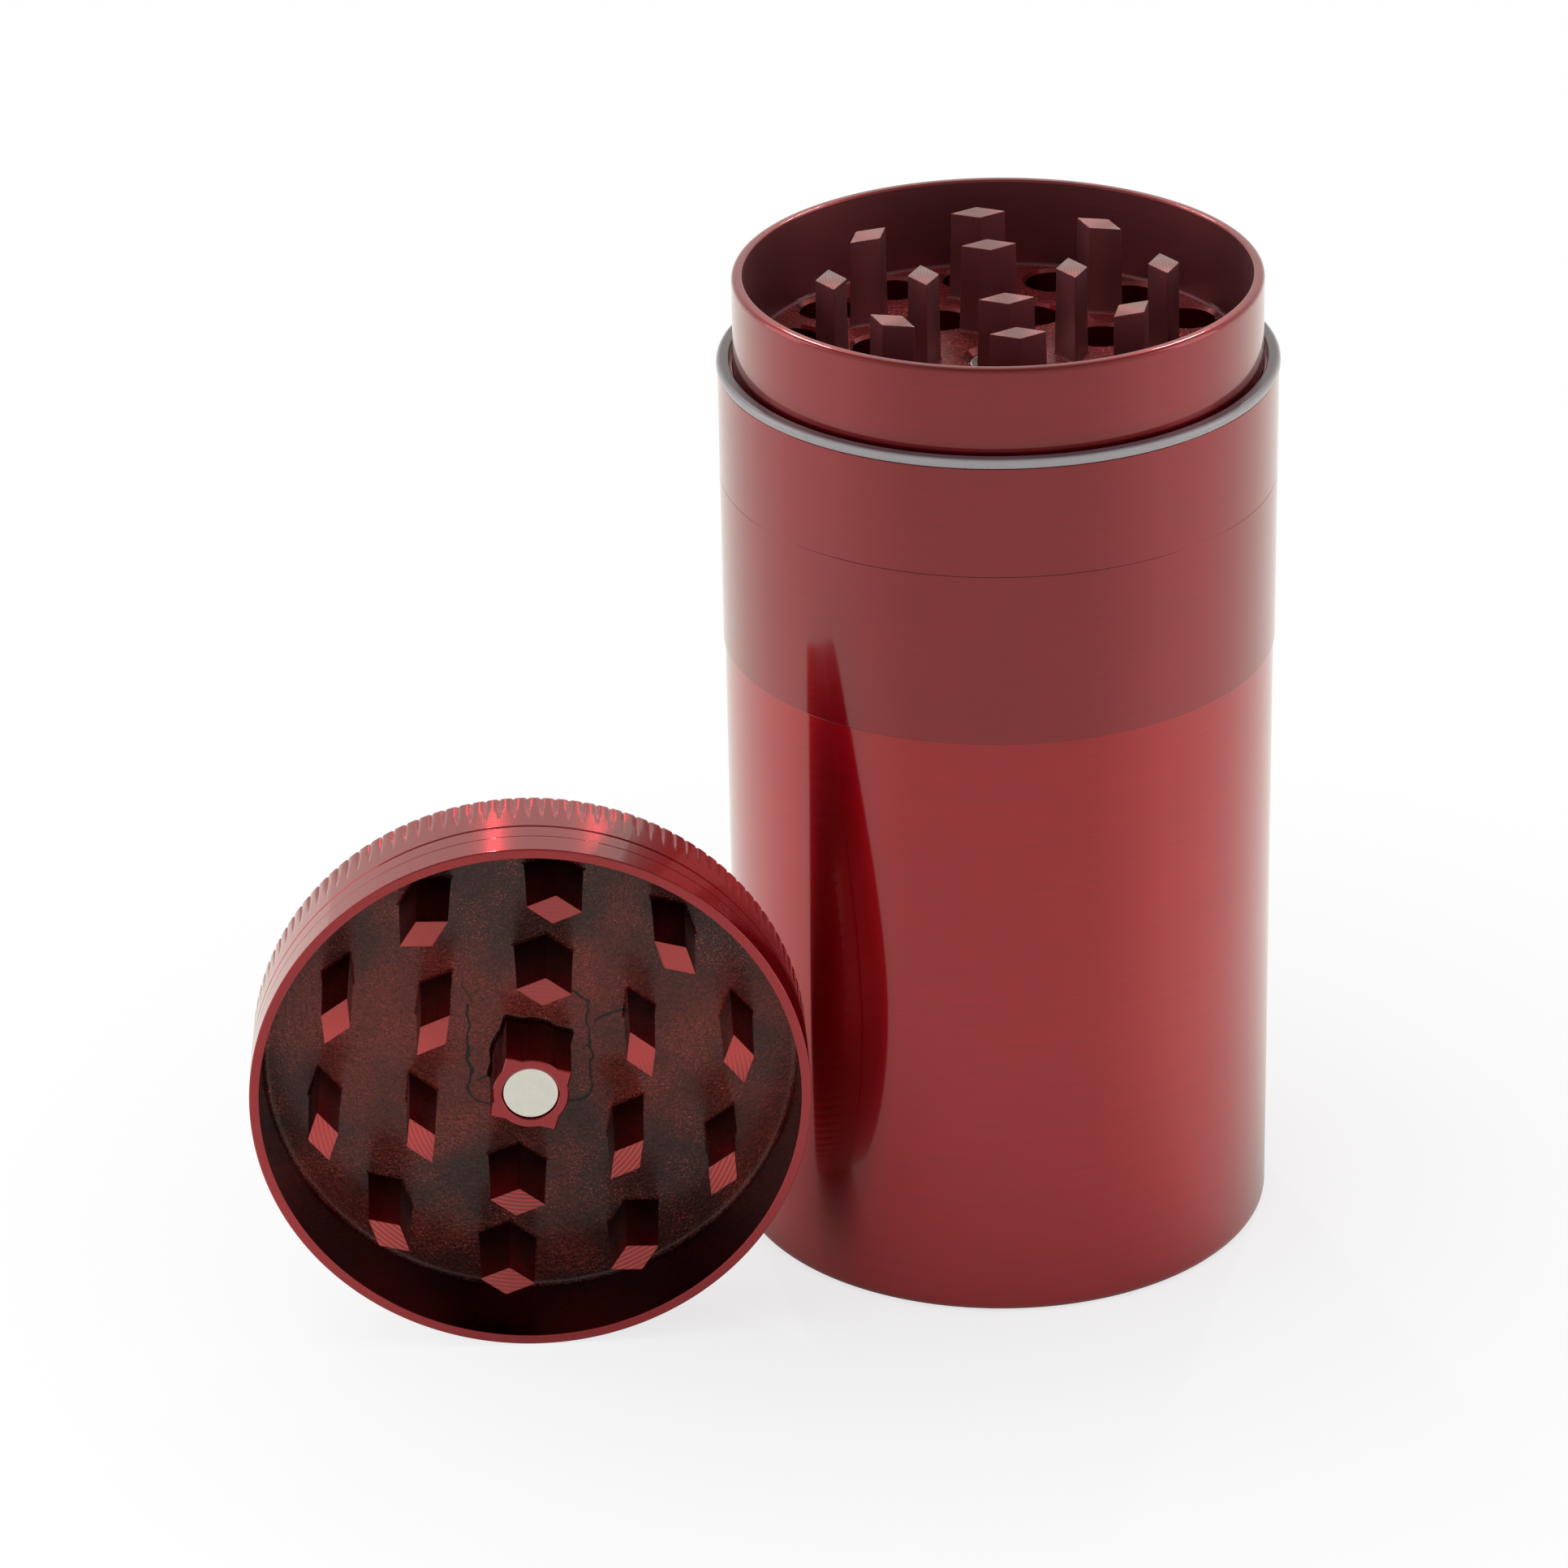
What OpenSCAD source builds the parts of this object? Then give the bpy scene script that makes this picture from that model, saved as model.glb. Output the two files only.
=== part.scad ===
// Tall hand grinder with four screwed sections: a toothed lid, a grinding chamber, a sifter ring
// and a deep storage jar. The lid is off and stands on its knurled side next to the jar.
// Millimetres, +Z up. The origin is the centre of the jar's base, on the table.

/* [Overall] */
// Outer diameter of the lid, the chamber's band and the sifter ring
body_d = 50; // [46:0.5:56]
// How far the jar's wall lies inside the rings above it
jar_step = 0.15; // [0:0.05:0.4]
// Height of the jar, base to seam
jar_h = 57.3; // [30:0.1:90]
// Height of the sifter ring between its two seams
sifter_h = 16; // [13:0.1:30]
// Height of the chamber's outer band, seam to ledge
chamber_h = 10.1; // [8:0.1:20]
// Height of the chamber's neck above the ledge
neck_h = 8.6; // [6:0.1:9.4]
// Height of the lid, rim to crown
lid_h = 10.8; // [10:0.1:18]

/* [Walls] */
// Wall of the jar below its socket
jar_wall = 2.6; // [2.2:0.1:5]
// Thickness of the jar's floor
jar_floor = 2.6; // [1.5:0.1:6]
// Radius of the fillet inside the bottom of the jar
jar_fillet = 4; // [1:0.5:8]
// Round of the jar's outer bottom edge
jar_foot = 0.8; // [0.3:0.1:1.5]
// Wall of the chamber's neck
neck_wall = 1; // [0.8:0.05:1.6]
// Thickness of the chamber's floor
chamber_floor = 2.2; // [1.4:0.1:3]
// Depth from the chamber's rim to its floor
chamber_depth = 8.3; // [7:0.1:12]
// Thickness of the lid's crown
lid_top = 1.6; // [1.2:0.1:2.8]
// Radius of the fillet inside the lid, between its floor and its skirt
lid_fillet = 0.4; // [0.2:0.05:0.6]
// Small chamfer on the outer edges at the seams
edge = 0.15; // [0.1:0.05:0.4]
// Bevel round the lid's crown
crown_edge = 0.4; // [0.2:0.05:0.8]

/* [Screwed joints] */
// Wall of the upper rings outside a socket
socket_wall = 2; // [1.6:0.1:2.4]
// Wall of a threaded spigot
spigot_wall = 1.7; // [1.5:0.1:3]
// Length of a threaded spigot
spigot_l = 4.2; // [3:0.1:6]
// Radial clearance between a spigot and its socket
thread_gap = 0.1; // [0.05:0.01:0.2]
// Clearance under the end of a spigot
thread_end_gap = 0.2; // [0.1:0.05:0.5]

/* [Neck and washer] */
// Width of the ledge between the chamber's band and its neck
ledge_w = 1.4; // [1.3:0.05:2]
// Chamfer round the outside of the neck's rim
neck_edge = 0.4; // [0.1:0.05:0.5]
// Radial clearance between the neck and the lid's skirt
lid_fit = 0.5; // [0.2:0.05:0.6]
// How far the washer stands out past the chamber's band
washer_proud = 0.1; // [0:0.05:0.3]
// Thickness of the washer
washer_t = 0.85; // [0.5:0.05:1.5]
// Gap between the washer's bore and the neck
washer_gap = 0.35; // [0.05:0.05:0.5]

/* [Teeth] */
// Radius of the innermost ring of teeth
first_ring_r = 6.6; // [6:0.1:7.8]
// Land between the chamber's outer teeth and the holes outside them
tooth_land = 0.2; // [0.1:0.05:1]
// Length of a tooth along its ring
tooth_l = 5; // [3:0.1:5.6]
// Width of a tooth across its ring
tooth_w = 2.8; // [1.8:0.1:3]
// Teeth in the chamber's inner ring; its outer ring has twice as many
chamber_n = 4; // [3:1:5]
// Teeth in the lid's inner ring
lid_inner_n = 6; // [4:1:8]
// Teeth in the lid's outer ring
lid_outer_n = 10; // [6:1:14]
// How far the chamber's teeth stop below its rim
chamber_tip_drop = 0.15; // [0:0.05:1]
// How far the lid's teeth stop below its rim
lid_tip_drop = 0.65; // [0.3:0.05:1.5]

/* [Floor holes] */
// Bore of a hole in the chamber's floor
hole_d = 5.4; // [4.2:0.1:5.4]
// Chamfer round the top of a hole
hole_chamfer = 0.3; // [0.1:0.05:0.4]
// Land between the outer holes and the chamber's wall
hole_land = 0.2; // [0.1:0.05:1]
// Margin of the well under the floor past its outer holes
well_land = 0.2; // [0.1:0.05:0.5]

/* [Magnets] */
// Diameter of the magnets
magnet_d = 5; // [4:0.1:5.5]
// Thickness of the magnets
magnet_t = 2; // [1.5:0.1:2.5]
// Radial clearance round a magnet
magnet_gap = 0.05; // [0.02:0.01:0.15]
// Depth of a magnet's face in the lid's centre post
post_recess = 0.2; // [0:0.05:0.5]
// Depth of a magnet's face in the chamber's floor
floor_recess = 0.5; // [0.2:0.05:1]
// Metal round the magnet in the hub under the chamber's floor
hub_wall = 2; // [1:0.1:3]
// Metal below the magnet in the hub
hub_base = 1; // [0.8:0.1:2]
// Width across the flats of the lid's centre post
post_w = 6.05; // [5.6:0.05:6.6]
// Metal left round the magnet in the lid's centre post
post_ring = 0.85; // [0.6:0.05:1]
// How far the centre post stops below the lid's rim
post_drop = 1.35; // [0.8:0.05:2]
// How far the centre post widens into the lid's floor
post_flare = 0.4; // [0.1:0.05:0.8]
// Turn of the centre post against the teeth round it
post_turn = 8; // [0:0.5:20]

/* [Lid's outside] */
// Number of flutes round the knurled band
flute_n = 126; // [90:1:140]
// Width of a flute
flute_w = 0.3; // [0.2:0.02:0.5]
// Depth of a flute
flute_depth = 0.25; // [0.15:0.05:0.4]
// Length of the knurled band, up to the crown
knurl_l = 4.4; // [2:0.1:5]
// How far the lands between the flutes lie inside the plain band
knurl_step = 0.03; // [0.02:0.01:0.1]
// Distance from the rim to the first fine groove
groove_1 = 2.7; // [1.5:0.1:3]
// Distance from the rim to the second fine groove
groove_2 = 4.7; // [3.8:0.1:5]
// Width of a fine groove
groove_w = 0.3; // [0.1:0.05:0.5]
// Depth of a fine groove
groove_depth = 0.15; // [0.05:0.05:0.25]
// Chamfer round the outside of the lid's rim
rim_edge = 0.2; // [0.1:0.05:0.3]
// Chamfer round the inside of the lid's rim
rim_inner_edge = 0.1; // [0.05:0.05:0.2]

/* [Sifter screen] */
// Thickness of the woven screen
screen_t = 0.3; // [0.2:0.05:0.6]
// Width of the shoulder that the screen bears on
screen_land = 0.6; // [0.4:0.1:1]
// Depth of the screen's seat above the sifter's lower end
screen_seat = 2.8; // [2.2:0.1:3.4]
// Clearance of the screen in its seat
screen_gap = 0.1; // [0.05:0.05:0.2]
// Thickness of the snap ring under the screen
snap_t = 0.8; // [0.5:0.05:1]
// Clearance of the snap ring in its groove
snap_gap = 0.05; // [0.02:0.01:0.1]
// Radial width of the snap ring
snap_w = 1.2; // [0.8:0.1:2]
// Depth of the snap ring's groove
snap_groove = 0.4; // [0.2:0.05:0.5]
// Opening between the snap ring's ends
snap_split = 4; // [2:0.5:8]

/* [Lid at rest] */
// Bearing of the lid round the jar, from +X
lid_bearing = 226.3; // [215:0.1:240]
// Turn of the lid's axis from straight ahead
lid_turn = 4; // [0:0.1:10]
// Roll of the lid on its side
lid_roll = 8.3; // [0:0.1:36]
// Gap between the lid and the widest ring
lid_gap = 0.3; // [0.2:0.05:2]
// Turn of the chamber's teeth about the axis
chamber_roll = 6.8; // [0:0.1:45]

/* [Hidden] */
$fn = 96;
// overshoot of a cutter past the face it opens
cut = 1;

body_r = body_d / 2;
jar_r = body_r - jar_step;
neck_r = body_r - ledge_w;
seam_jar_z = jar_h;
seam_sifter_z = seam_jar_z + sifter_h;
ledge_z = seam_sifter_z + chamber_h;
rim_z = ledge_z + neck_h;
socket_r = body_r - socket_wall;
spigot_r = socket_r - thread_gap;
bore_r = spigot_r - spigot_wall;
socket_depth = spigot_l + thread_end_gap;
jar_bore_r = jar_r - jar_wall;
washer_r = body_r + washer_proud;

neck_bore_r = neck_r - neck_wall;
floor_z = rim_z - chamber_depth;
hole_top_r = hole_d / 2 + hole_chamfer;
outer_hole_r = neck_bore_r - hole_land - hole_top_r;
outer_ring_r = outer_hole_r - hole_top_r - tooth_land - tooth_w / 2;
// step from one ring of teeth to the next; the chamber's and the lid's rings take turns
ring_pitch = (outer_ring_r - first_ring_r) / 2;
inner_hole_r = first_ring_r + ring_pitch;
well_r = outer_hole_r + hole_d / 2 + well_land;
pocket_r = magnet_d / 2 + magnet_gap;
hub_r = pocket_r + hub_wall;
hub_z = floor_z - floor_recess - magnet_t - hub_base;

skirt_r = neck_r + lid_fit;
lid_depth = lid_h - lid_top;
lid_rings = [first_ring_r + ring_pitch, first_ring_r + 3 * ring_pitch];
post_h = lid_depth - post_drop;
post_round_r = pocket_r + post_ring;

screen_seat_r = bore_r + screen_land;
screen_seat_z = seam_jar_z - spigot_l + screen_seat;
screen_r = screen_seat_r - screen_gap;
screen_z = screen_seat_z - screen_gap / 2 - screen_t;
snap_groove_r = screen_seat_r + snap_groove;
snap_z = screen_z - snap_gap - snap_t;
snap_r = snap_groove_r - snap_gap;

widest_r = max(body_r, jar_r, washer_r);
lid_dir = [sin(lid_turn), -cos(lid_turn)];
lid_side = [cos(lid_turn), sin(lid_turn)];
lid_near = (widest_r + lid_gap) * [cos(lid_bearing), sin(lid_bearing)];
lid_place = lid_near + (lid_h - crown_edge) * lid_dir - body_r * lid_side;

red = [0.60, 0.10, 0.11];
deep_red = [0.52, 0.08, 0.09];
nylon = [0.82, 0.83, 0.80];
steel = [0.72, 0.73, 0.74];
nickel = [0.84, 0.85, 0.82];

// Points of a quarter round about [x, y] of radius r, from angle a to angle b
function arc(x, y, r, a, b, n = 6) =
    [for (i = [0 : n]) let (t = a + (b - a) * i / n) [x + r * cos(t), y + r * sin(t)]];

// A solid of revolution about Z from a profile of [radius, height]
module turned(profile) {
    rotate_extrude() polygon(profile);
}

// Places its children n times round a circle of radius r, the first at angle start
module ring_of(n, r, start) {
    for (i = [0 : n - 1]) rotate([0, 0, start + 360 * i / n]) translate([r, 0, 0]) children();
}

// A diamond tooth of height h, long along its ring
module tooth(h) {
    linear_extrude(height = h)
        polygon([[tooth_w / 2, 0], [0, tooth_l / 2], [-tooth_w / 2, 0], [0, -tooth_l / 2]]);
}

module jar() {
    color(red) turned(concat(
        [[0, 0]],
        arc(jar_r - jar_foot, jar_foot, jar_foot, -90, 0),
        [[jar_r, jar_h - edge], [jar_r - edge, jar_h], [socket_r, jar_h],
         [socket_r, jar_h - socket_depth], [jar_bore_r, jar_h - socket_depth]],
        arc(jar_bore_r - jar_fillet, jar_floor + jar_fillet, jar_fillet, 0, -90),
        [[0, jar_floor]]
    ));
}

module sifter_ring() {
    low = seam_jar_z - spigot_l;
    groove_low = snap_z - snap_gap;
    groove_high = snap_z + snap_t + snap_gap;
    color(deep_red) turned([
        [screen_seat_r, low], [spigot_r - edge, low], [spigot_r, low + edge],
        [spigot_r, seam_jar_z], [body_r - edge, seam_jar_z], [body_r, seam_jar_z + edge],
        [body_r, seam_sifter_z - edge], [body_r - edge, seam_sifter_z],
        [socket_r, seam_sifter_z], [socket_r, seam_sifter_z - socket_depth],
        [bore_r, seam_sifter_z - socket_depth], [bore_r, screen_seat_z],
        [screen_seat_r, screen_seat_z], [screen_seat_r, groove_high],
        [snap_groove_r, groove_high], [snap_groove_r, groove_low], [screen_seat_r, groove_low]
    ]);
}

module sifter_screen() {
    color(steel) translate([0, 0, screen_z]) cylinder(r = screen_r, h = screen_t);
}

// An open spring ring in the groove under the screen
module snap_ring() {
    color(steel) difference() {
        turned([[snap_r - snap_w, snap_z], [snap_r, snap_z],
                [snap_r, snap_z + snap_t], [snap_r - snap_w, snap_z + snap_t]]);
        translate([snap_r - snap_w - cut, -snap_split / 2, snap_z - cut])
            cube([snap_w + 2 * cut, snap_split, snap_t + 2 * cut]);
    }
}

module friction_washer() {
    bore = neck_r + washer_gap;
    color(nylon) turned([[bore, ledge_z], [washer_r, ledge_z],
                         [washer_r, ledge_z + washer_t], [bore, ledge_z + washer_t]]);
}

// The chamber before its teeth, holes and magnet pocket: neck, ledge, band, floor, hub and spigot,
// with a well under the floor that narrows to the spigot's bore
module chamber_shell() {
    low = seam_sifter_z - spigot_l;
    under = floor_z - chamber_floor;
    turned([
        [0, hub_z], [hub_r, hub_z], [hub_r, under], [well_r, under],
        [bore_r, seam_sifter_z], [bore_r, low], [spigot_r - edge, low], [spigot_r, low + edge],
        [spigot_r, seam_sifter_z], [body_r - edge, seam_sifter_z], [body_r, seam_sifter_z + edge],
        [body_r, ledge_z - edge], [body_r - edge, ledge_z], [neck_r, ledge_z],
        [neck_r, rim_z - neck_edge], [neck_r - neck_edge, rim_z], [neck_bore_r, rim_z],
        [neck_bore_r, floor_z], [0, floor_z]
    ]);
}

// A through hole with its top edge broken, opening at height 0
module floor_hole() {
    translate([0, 0, -chamber_floor - cut]) cylinder(d = hole_d, h = chamber_floor + 2 * cut);
    translate([0, 0, -hole_chamfer])
        cylinder(r1 = hole_d / 2, r2 = hole_top_r + hole_chamfer, h = 2 * hole_chamfer);
}

// A blind pocket, opening at height 0, for a magnet whose face lies at depth recess
module magnet_pocket(recess) {
    translate([0, 0, -recess - magnet_t]) cylinder(r = pocket_r, h = recess + magnet_t + cut);
}

// A cone that breaks the mouth of a magnet's pocket down to the magnet's face
module countersink(depth) {
    translate([0, 0, -depth]) cylinder(r1 = pocket_r, r2 = pocket_r + 2 * depth, h = 2 * depth);
}

module magnet() {
    cylinder(d = magnet_d, h = magnet_t);
}

module grinding_chamber() {
    tooth_h = chamber_depth - chamber_tip_drop;
    first = 90 + chamber_roll;
    color(red) difference() {
        union() {
            chamber_shell();
            translate([0, 0, floor_z - cut]) {
                ring_of(chamber_n, first_ring_r, first) tooth(tooth_h + cut);
                ring_of(2 * chamber_n, outer_ring_r, first) tooth(tooth_h + cut);
            }
        }
        translate([0, 0, floor_z]) {
            ring_of(4 * chamber_n, outer_hole_r, first) floor_hole();
            ring_of(2 * chamber_n, inner_hole_r, first + 90 / chamber_n) floor_hole();
            magnet_pocket(floor_recess);
            countersink(floor_recess);
        }
    }
}

module chamber_magnet() {
    color(nickel) translate([0, 0, floor_z - floor_recess - magnet_t]) magnet();
}

// Outline across the fluted band: straight lands, with a notch at each flute
module fluted_outline() {
    land_r = body_r - knurl_step;
    half = flute_w / 2 / land_r * 180 / PI;
    polygon([for (i = [0 : flute_n - 1], k = [-1 : 1]) let (
        a = 360 / flute_n * i + k * half,
        r = k == 0 ? body_r - flute_depth : land_r) [r * cos(a), r * sin(a)]]);
}

// The lid in its own frame, before its teeth: rim at height 0 facing up, crown at -lid_h
module lid_shell() {
    core_r = skirt_r + (body_r - flute_depth - skirt_r) / 2;
    knurl_end = -lid_h + knurl_l;
    difference() {
        union() {
            turned([
                [0, -lid_h + lid_top / 2], [core_r, -lid_h + lid_top / 2], [core_r, knurl_end],
                [body_r, knurl_end], [body_r, -groove_2 - groove_w / 2],
                [body_r - groove_depth, -groove_2], [body_r, -groove_2 + groove_w / 2],
                [body_r, -groove_1 - groove_w / 2], [body_r - groove_depth, -groove_1],
                [body_r, -groove_1 + groove_w / 2], [body_r, -rim_edge], [body_r - rim_edge, 0],
                [0, 0]
            ]);
            intersection() {
                translate([0, 0, -lid_h]) linear_extrude(height = knurl_l) fluted_outline();
                turned([[0, -lid_h - cut], [body_r - crown_edge - cut, -lid_h - cut],
                        [body_r + cut, -lid_h + crown_edge + cut], [body_r + cut, cut], [0, cut]]);
            }
        }
        turned(concat([[0, -lid_depth]],
            arc(skirt_r - lid_fillet, lid_fillet - lid_depth, lid_fillet, -90, 0, 3),
            [[skirt_r, cut], [0, cut]]));
        translate([0, 0, -rim_inner_edge])
            cylinder(r1 = skirt_r, r2 = skirt_r + 2 * rim_inner_edge, h = 2 * rim_inner_edge);
    }
}

// Side view of the centre post: straight sides that widen into the floor and sink into the crown
function post_side(half) =
    [[half + post_flare, -lid_top / 2], [half + post_flare, 0], [half, post_flare], [half, post_h]];

// The post's two opposite flats, wider than the post along the other way
module post_flats() {
    side = post_side(post_w / 2);
    rotate([90, 0, 0]) linear_extrude(height = 2 * post_w, center = true)
        polygon(concat(side, [for (i = [len(side) - 1 : -1 : 0]) [-side[i][0], side[i][1]]]));
}

// The square centre post with its round middle, standing on the lid's floor
module centre_post() {
    translate([0, 0, -lid_depth]) {
        turned(concat([[0, -lid_top / 2]], post_side(post_round_r), [[0, post_h]]));
        intersection() {
            post_flats();
            rotate([0, 0, 90]) post_flats();
        }
    }
}

module lid_body() {
    tooth_h = lid_depth - lid_tip_drop;
    difference() {
        union() {
            lid_shell();
            rotate([0, 0, 90 - lid_roll]) {
                translate([0, 0, -lid_depth - lid_top / 2]) {
                    ring_of(lid_inner_n, lid_rings[0], 0) tooth(tooth_h + lid_top / 2);
                    ring_of(lid_outer_n, lid_rings[1], 0) tooth(tooth_h + lid_top / 2);
                }
                rotate([0, 0, -post_turn]) centre_post();
            }
        }
        translate([0, 0, -post_drop]) magnet_pocket(post_recess);
    }
}

// Stands the lid on its side next to the jar, its mouth to the front
module lid_stand() {
    translate([lid_place[0], lid_place[1], body_r]) rotate([0, 0, lid_turn]) rotate([90, 0, 0])
        children();
}

module lid() {
    color(red) lid_stand() lid_body();
}

module lid_magnet() {
    color(nickel) lid_stand()
        translate([0, 0, -post_drop - post_recess - magnet_t]) magnet();
}

jar();
sifter_screen();
sifter_ring();
snap_ring();
friction_washer();
grinding_chamber();
chamber_magnet();
lid();
lid_magnet();
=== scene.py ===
from math import atan2, cos, hypot, pi, radians, sin, sqrt, tan

import bmesh
import bpy
from mathutils import Matrix, Vector


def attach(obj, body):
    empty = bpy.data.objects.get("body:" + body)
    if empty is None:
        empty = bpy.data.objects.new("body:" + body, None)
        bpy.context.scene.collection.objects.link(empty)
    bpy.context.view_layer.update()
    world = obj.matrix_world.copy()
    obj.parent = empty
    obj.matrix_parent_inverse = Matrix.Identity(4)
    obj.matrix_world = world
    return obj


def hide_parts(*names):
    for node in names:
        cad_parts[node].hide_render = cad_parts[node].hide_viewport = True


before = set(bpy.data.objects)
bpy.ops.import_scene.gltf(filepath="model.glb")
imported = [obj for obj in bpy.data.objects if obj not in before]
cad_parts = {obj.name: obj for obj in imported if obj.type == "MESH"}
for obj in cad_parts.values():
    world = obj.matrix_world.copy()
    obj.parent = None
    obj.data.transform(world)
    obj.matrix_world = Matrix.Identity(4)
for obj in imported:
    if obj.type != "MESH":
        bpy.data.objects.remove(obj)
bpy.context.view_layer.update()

# ---------------------------------------------------------------------------
# Sizes, in millimetres
# ---------------------------------------------------------------------------
MM = 0.001
TURN = 2 * pi
SIDES = 288

# radii of the turned sections
BODY_R = 25.0
JAR_R = 24.85
NECK_R = 23.6
NECK_BORE_R = 22.6
SOCKET_R = 23.0
SPIGOT_R = 22.9
BORE_R = 21.2
JAR_BORE_R = 22.25
WELL_R = 22.3
WASHER_R = 25.1
WASHER_BORE_R = 23.95

# heights above the table, lengths along the axis, and how far edges are rounded; HUB and UNDER
# are the lowest faces of the chamber's hub and of its floor
JAR_FLOOR = 2.6
SEAM_JAR = 57.3
SEAM_SIFTER = 73.3
HUB = 80.2
UNDER = 81.5
LEDGE = 83.4
FLOOR = 83.7
RIM = 92.0
SPIGOT_L = 4.2
SOCKET_L = 4.4
WASHER_T = 0.85
SEAM_EASE = 0.05
MOUTH_EASE = 0.2
FOOT_EASE = 0.8
JAR_FILLET = 4.0

# threads, and what stays plain below and above each
THREAD_PITCH = 1.5
THREAD_H = 0.45
THREAD_PLAY = 0.05
THREAD_FLANK = 0.48
THREAD_CREST = 0.2
SPIGOT_PLAIN = (0.6, 0.7)
SOCKET_PLAIN = (0.9, 0.5)

# the sifter ring's seats, and the snap ring and the screen in them
SEAT_R = 21.8
SEAT_Z = 55.9
SNAP_GROOVE_R = 22.2
SNAP_GROOVE = (54.65, 55.55)
SNAP_RADII = (20.95, 22.15)
SNAP_HEIGHTS = (54.7, 55.5)
SNAP_HALF_GAP = atan2(2.0, 21.5)
SNAP_STEPS = 200
SCREEN_Z = 55.7
SCREEN_R = 21.5
SCREEN_EDGE = (20.9, 21.7)
SCREEN_EDGE_HALF = 0.15
WIRE = 0.13
WIRE_PITCH = 0.9
WIRE_ROWS = 46
WIRE_POINTS = 139

# teeth: rings of (how many, radius), and the angle of the first tooth in each; holes: rings of
# (how many, radius, turn from the first tooth)
TOOTH_L = 5.0
TOOTH_W = 2.8
TOOTH_NOSE = 0.08
SUNK = 0.6
CHAMBER_RINGS = ((4, 6.6), (8, 14.8))
CHAMBER_FIRST = radians(96.8)
CHAMBER_TIP = RIM - 0.15
LID_RINGS = ((6, 10.7), (10, 18.9))
LID_FIRST = radians(81.7)
LID_TIP = -0.65
HOLE_R = 2.7
HOLE_CHAMFER = 0.3
HOLE_RINGS = ((16, 19.4, 0.0), (8, 10.7, radians(22.5)))

# magnets, how deep the chamber's lies below the floor, and the metal round it in the hub
MAGNET_R = 2.5
POCKET_R = 2.55
MAGNET_T = 2.0
MAGNET_SINK = 0.5
HUB_WALL = 2.0
CHAMBER_MAGNET_Z = FLOOR - MAGNET_SINK

# lid, from its rim at 0 down to its closed face
LID_H = 10.8
LID_DEPTH = 9.2
SKIRT_R = 24.1
POST_W = 6.05
POST_ROUND_R = 3.4
POST_CORNER = 0.06
POST_BEVEL = 0.1
POCKET_BEVEL = 0.08
POST_DROP = 1.35
POST_FLARE = 0.4
POST_REACH = 5.2
POST_FIRST = LID_FIRST - radians(8)
POST_SIDES = 144
LID_MAGNET_Z = -POST_DROP - 0.2
FLUTES = 126
FLUTE_W = 0.52
FLUTE_DEPTH = 0.13
FLUTE_RUNOUT = 2.4
KNURL_L = 4.4
KNURL_STEP = 0.03
KNURL_TOP = -LID_H + KNURL_L
# rings of points down the knurl, which the flutes press in
KNURL_RINGS = (0.4, 0.9, 1.4, 1.9, 2.4, 3.2)
# the lid's fine grooves: how far below the rim, how wide and how deep
GROOVES = ((2.7, 0.16, 0.03), (4.7, 0.36, 0.10))

# where the lid stands, in metres: its rim's centre, and its mouth turned to the front
LID_CENTRE = Vector((-41.762, -30.482, 25.0)) * MM
LID_STAND = (Matrix.Translation(LID_CENTRE) @ Matrix.Rotation(radians(4), 4, "Z")
             @ Matrix.Rotation(radians(90), 4, "X"))


# ---------------------------------------------------------------------------
# Meshes
# ---------------------------------------------------------------------------
def evenly(count):
    """That many angles round a circle."""
    return [TURN * i / count for i in range(count)]


def polar(radius, angle, height):
    return radius * cos(angle), radius * sin(angle), height


def eased(corners, steps=4):
    """Outline through (radius, height, ease) corners. A corner with an ease is rounded, and a
    point on either side of the round keeps the flats beside it flat."""
    outline = []
    for i, (r, z, ease) in enumerate(corners):
        here = Vector((r, z))
        if not ease:
            outline.append((r, z))
            continue
        back = Vector(corners[i - 1][:2]) - here
        ahead = Vector(corners[(i + 1) % len(corners)][:2]) - here
        half = back.angle(ahead) / 2
        run = ease / tan(half)
        to_back, to_ahead = back.normalized(), ahead.normalized()
        centre = here + (to_back + to_ahead).normalized() * (ease / sin(half))
        first, last = here + to_back * run - centre, here + to_ahead * run - centre
        sweep = first.angle(last)
        guard = 0.6 * ease
        room = run + 2.2 * guard
        if back.length > room:
            outline.append(tuple(here + to_back * (run + guard)))
        for k in range(steps + 1):
            t = k / steps
            p = centre + (first * sin((1 - t) * sweep) + last * sin(t * sweep)) / sin(sweep)
            outline.append(tuple(p))
        if ahead.length > room:
            outline.append(tuple(here + to_ahead * (run + guard)))
    return outline


def revolved(outline, angles):
    """A mesh turned about Z from a closed outline of (radius, height)."""
    shape = bmesh.new()
    rings = []
    for r, z in outline:
        if r < 1e-6:
            rings.append([shape.verts.new((0, 0, z * MM))] * len(angles))
        else:
            rings.append([shape.verts.new([c * MM for c in polar(r, a, z)]) for a in angles])
    for low, high in zip(rings, rings[1:] + rings[:1]):
        for i in range(len(angles)):
            j = (i + 1) % len(angles)
            face = list(dict.fromkeys((low[i], low[j], high[j], high[i])))
            if len(face) > 2:
                shape.faces.new(face)
    bmesh.ops.recalc_face_normals(shape, faces=shape.faces)
    return shape


def lofted(rows):
    """A closed mesh through loops of as many points each, with both ends capped."""
    shape = bmesh.new()
    loops = [[shape.verts.new([c * MM for c in point]) for point in row] for row in rows]
    for low, high in zip(loops, loops[1:]):
        for i in range(len(low)):
            j = (i + 1) % len(low)
            shape.faces.new((low[i], low[j], high[j], high[i]))
    shape.faces.new(loops[0][::-1])
    shape.faces.new(loops[-1])
    bmesh.ops.recalc_face_normals(shape, faces=shape.faces)
    return shape


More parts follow.
